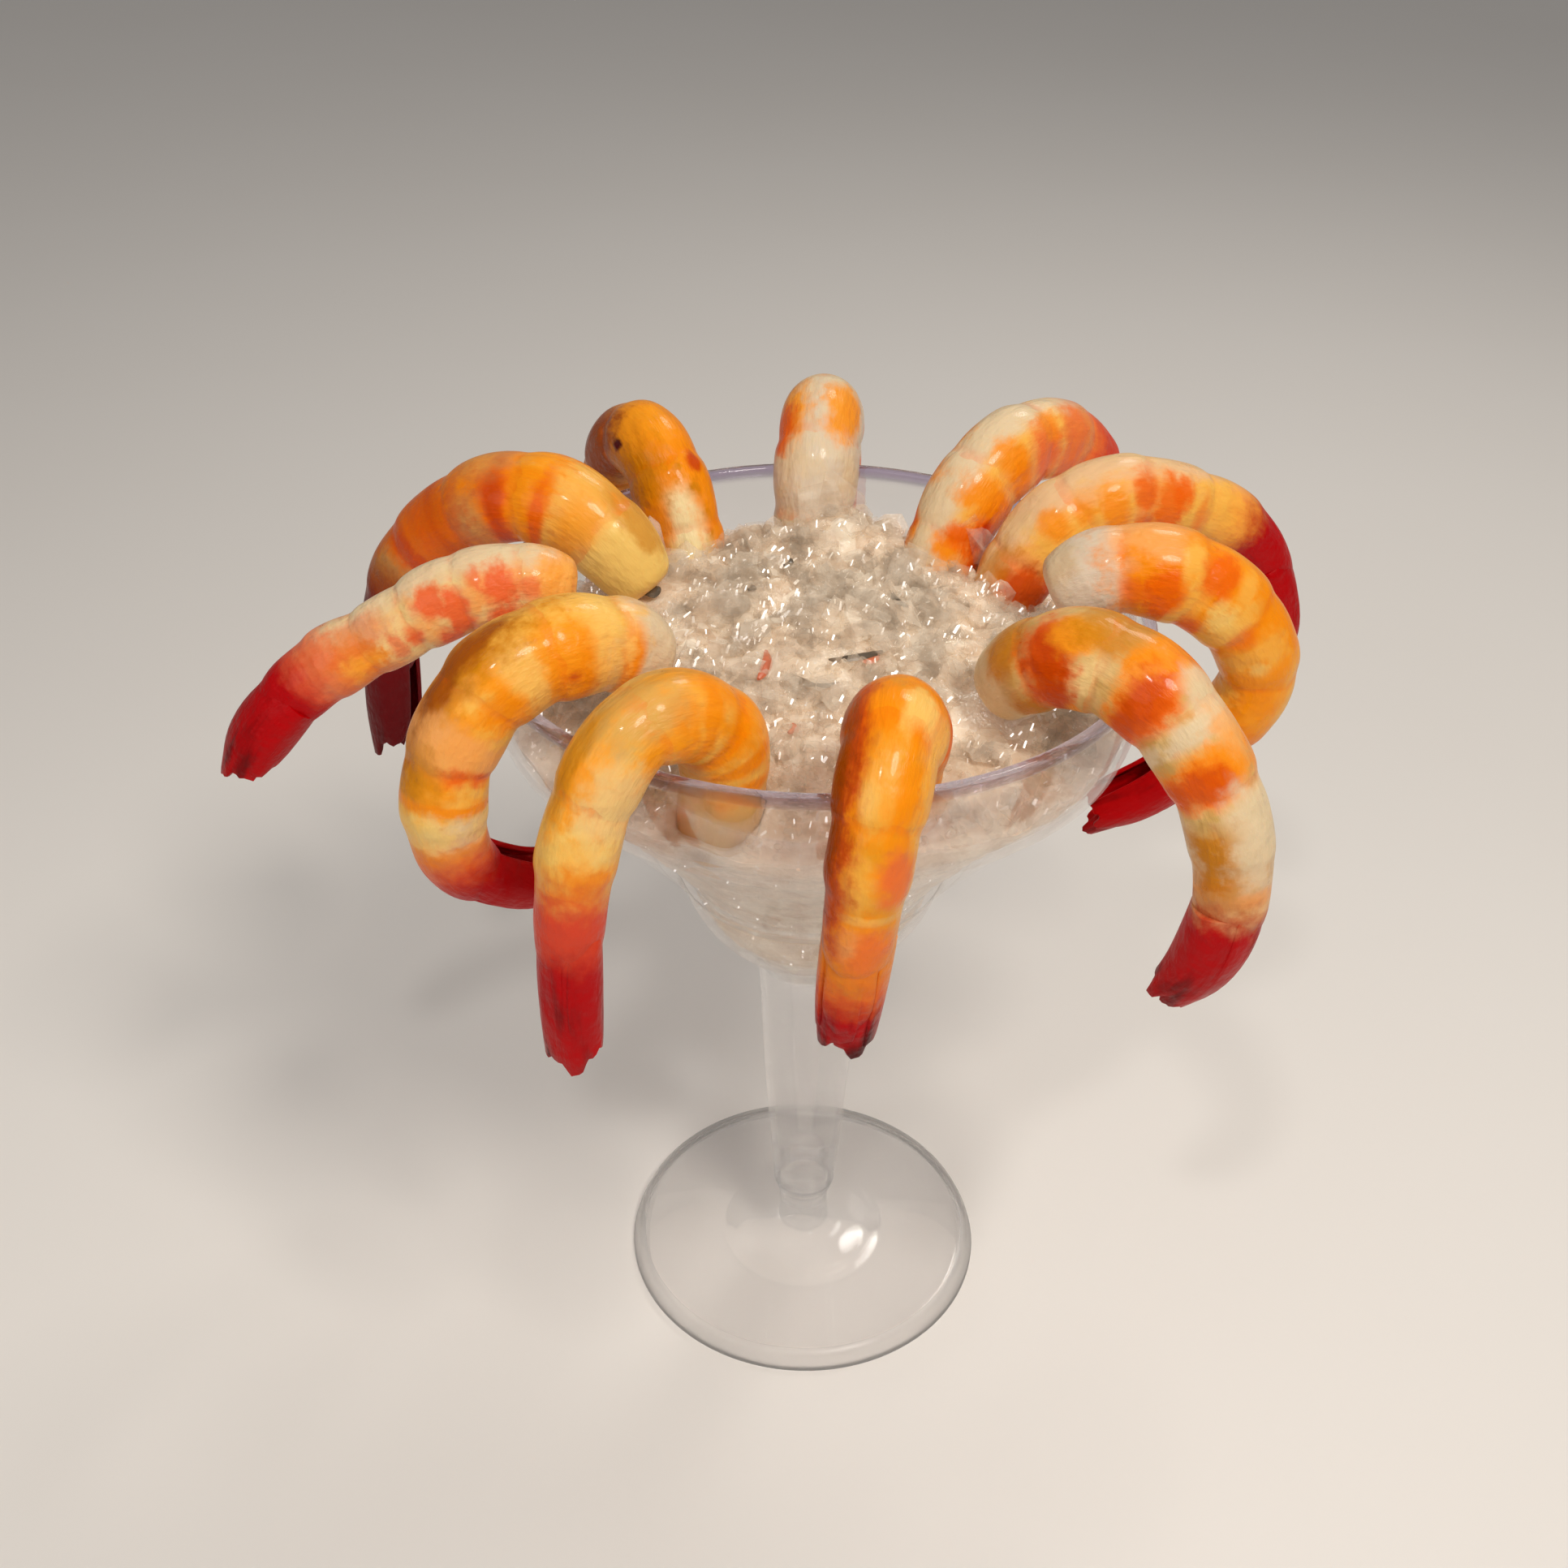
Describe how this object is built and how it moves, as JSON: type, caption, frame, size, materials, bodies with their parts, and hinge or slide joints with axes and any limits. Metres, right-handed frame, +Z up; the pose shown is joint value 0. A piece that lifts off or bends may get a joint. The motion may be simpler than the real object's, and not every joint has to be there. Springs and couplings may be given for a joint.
{
  "type": "prawn cocktail",
  "caption": "Prawns with their tails on, hooked over the rim of a clear stemmed plastic margarita glass heaped with crushed ice.",
  "frame": {"origin": "centre of the footprint at table level, 4 mm from the glass's own axis", "axes": "+Z up, +X to the right as served, +Y to the back"},
  "size_m": [0.1992, 0.158, 0.174],
  "materials": {
    "clear_plastic": "clear moulded plastic, faintly lilac where it is thick",
    "ice": "crushed ice, cloudy and wet",
    "prawn_flesh": "glossy cooked prawn, cream and orange with red tails"
  },
  "bodies": {
    "root": {"glass_foot": "clear_plastic", "glass_bowl": "clear_plastic", "crushed_ice": "ice", "prawn_01": "prawn_flesh", "prawn_02": "prawn_flesh", "prawn_03": "prawn_flesh", "prawn_04": "prawn_flesh", "prawn_05": "prawn_flesh", "prawn_06": "prawn_flesh", "prawn_07": "prawn_flesh", "prawn_08": "prawn_flesh", "prawn_09": "prawn_flesh", "prawn_10": "prawn_flesh", "prawn_11": "prawn_flesh"}
  },
  "joints": []
}
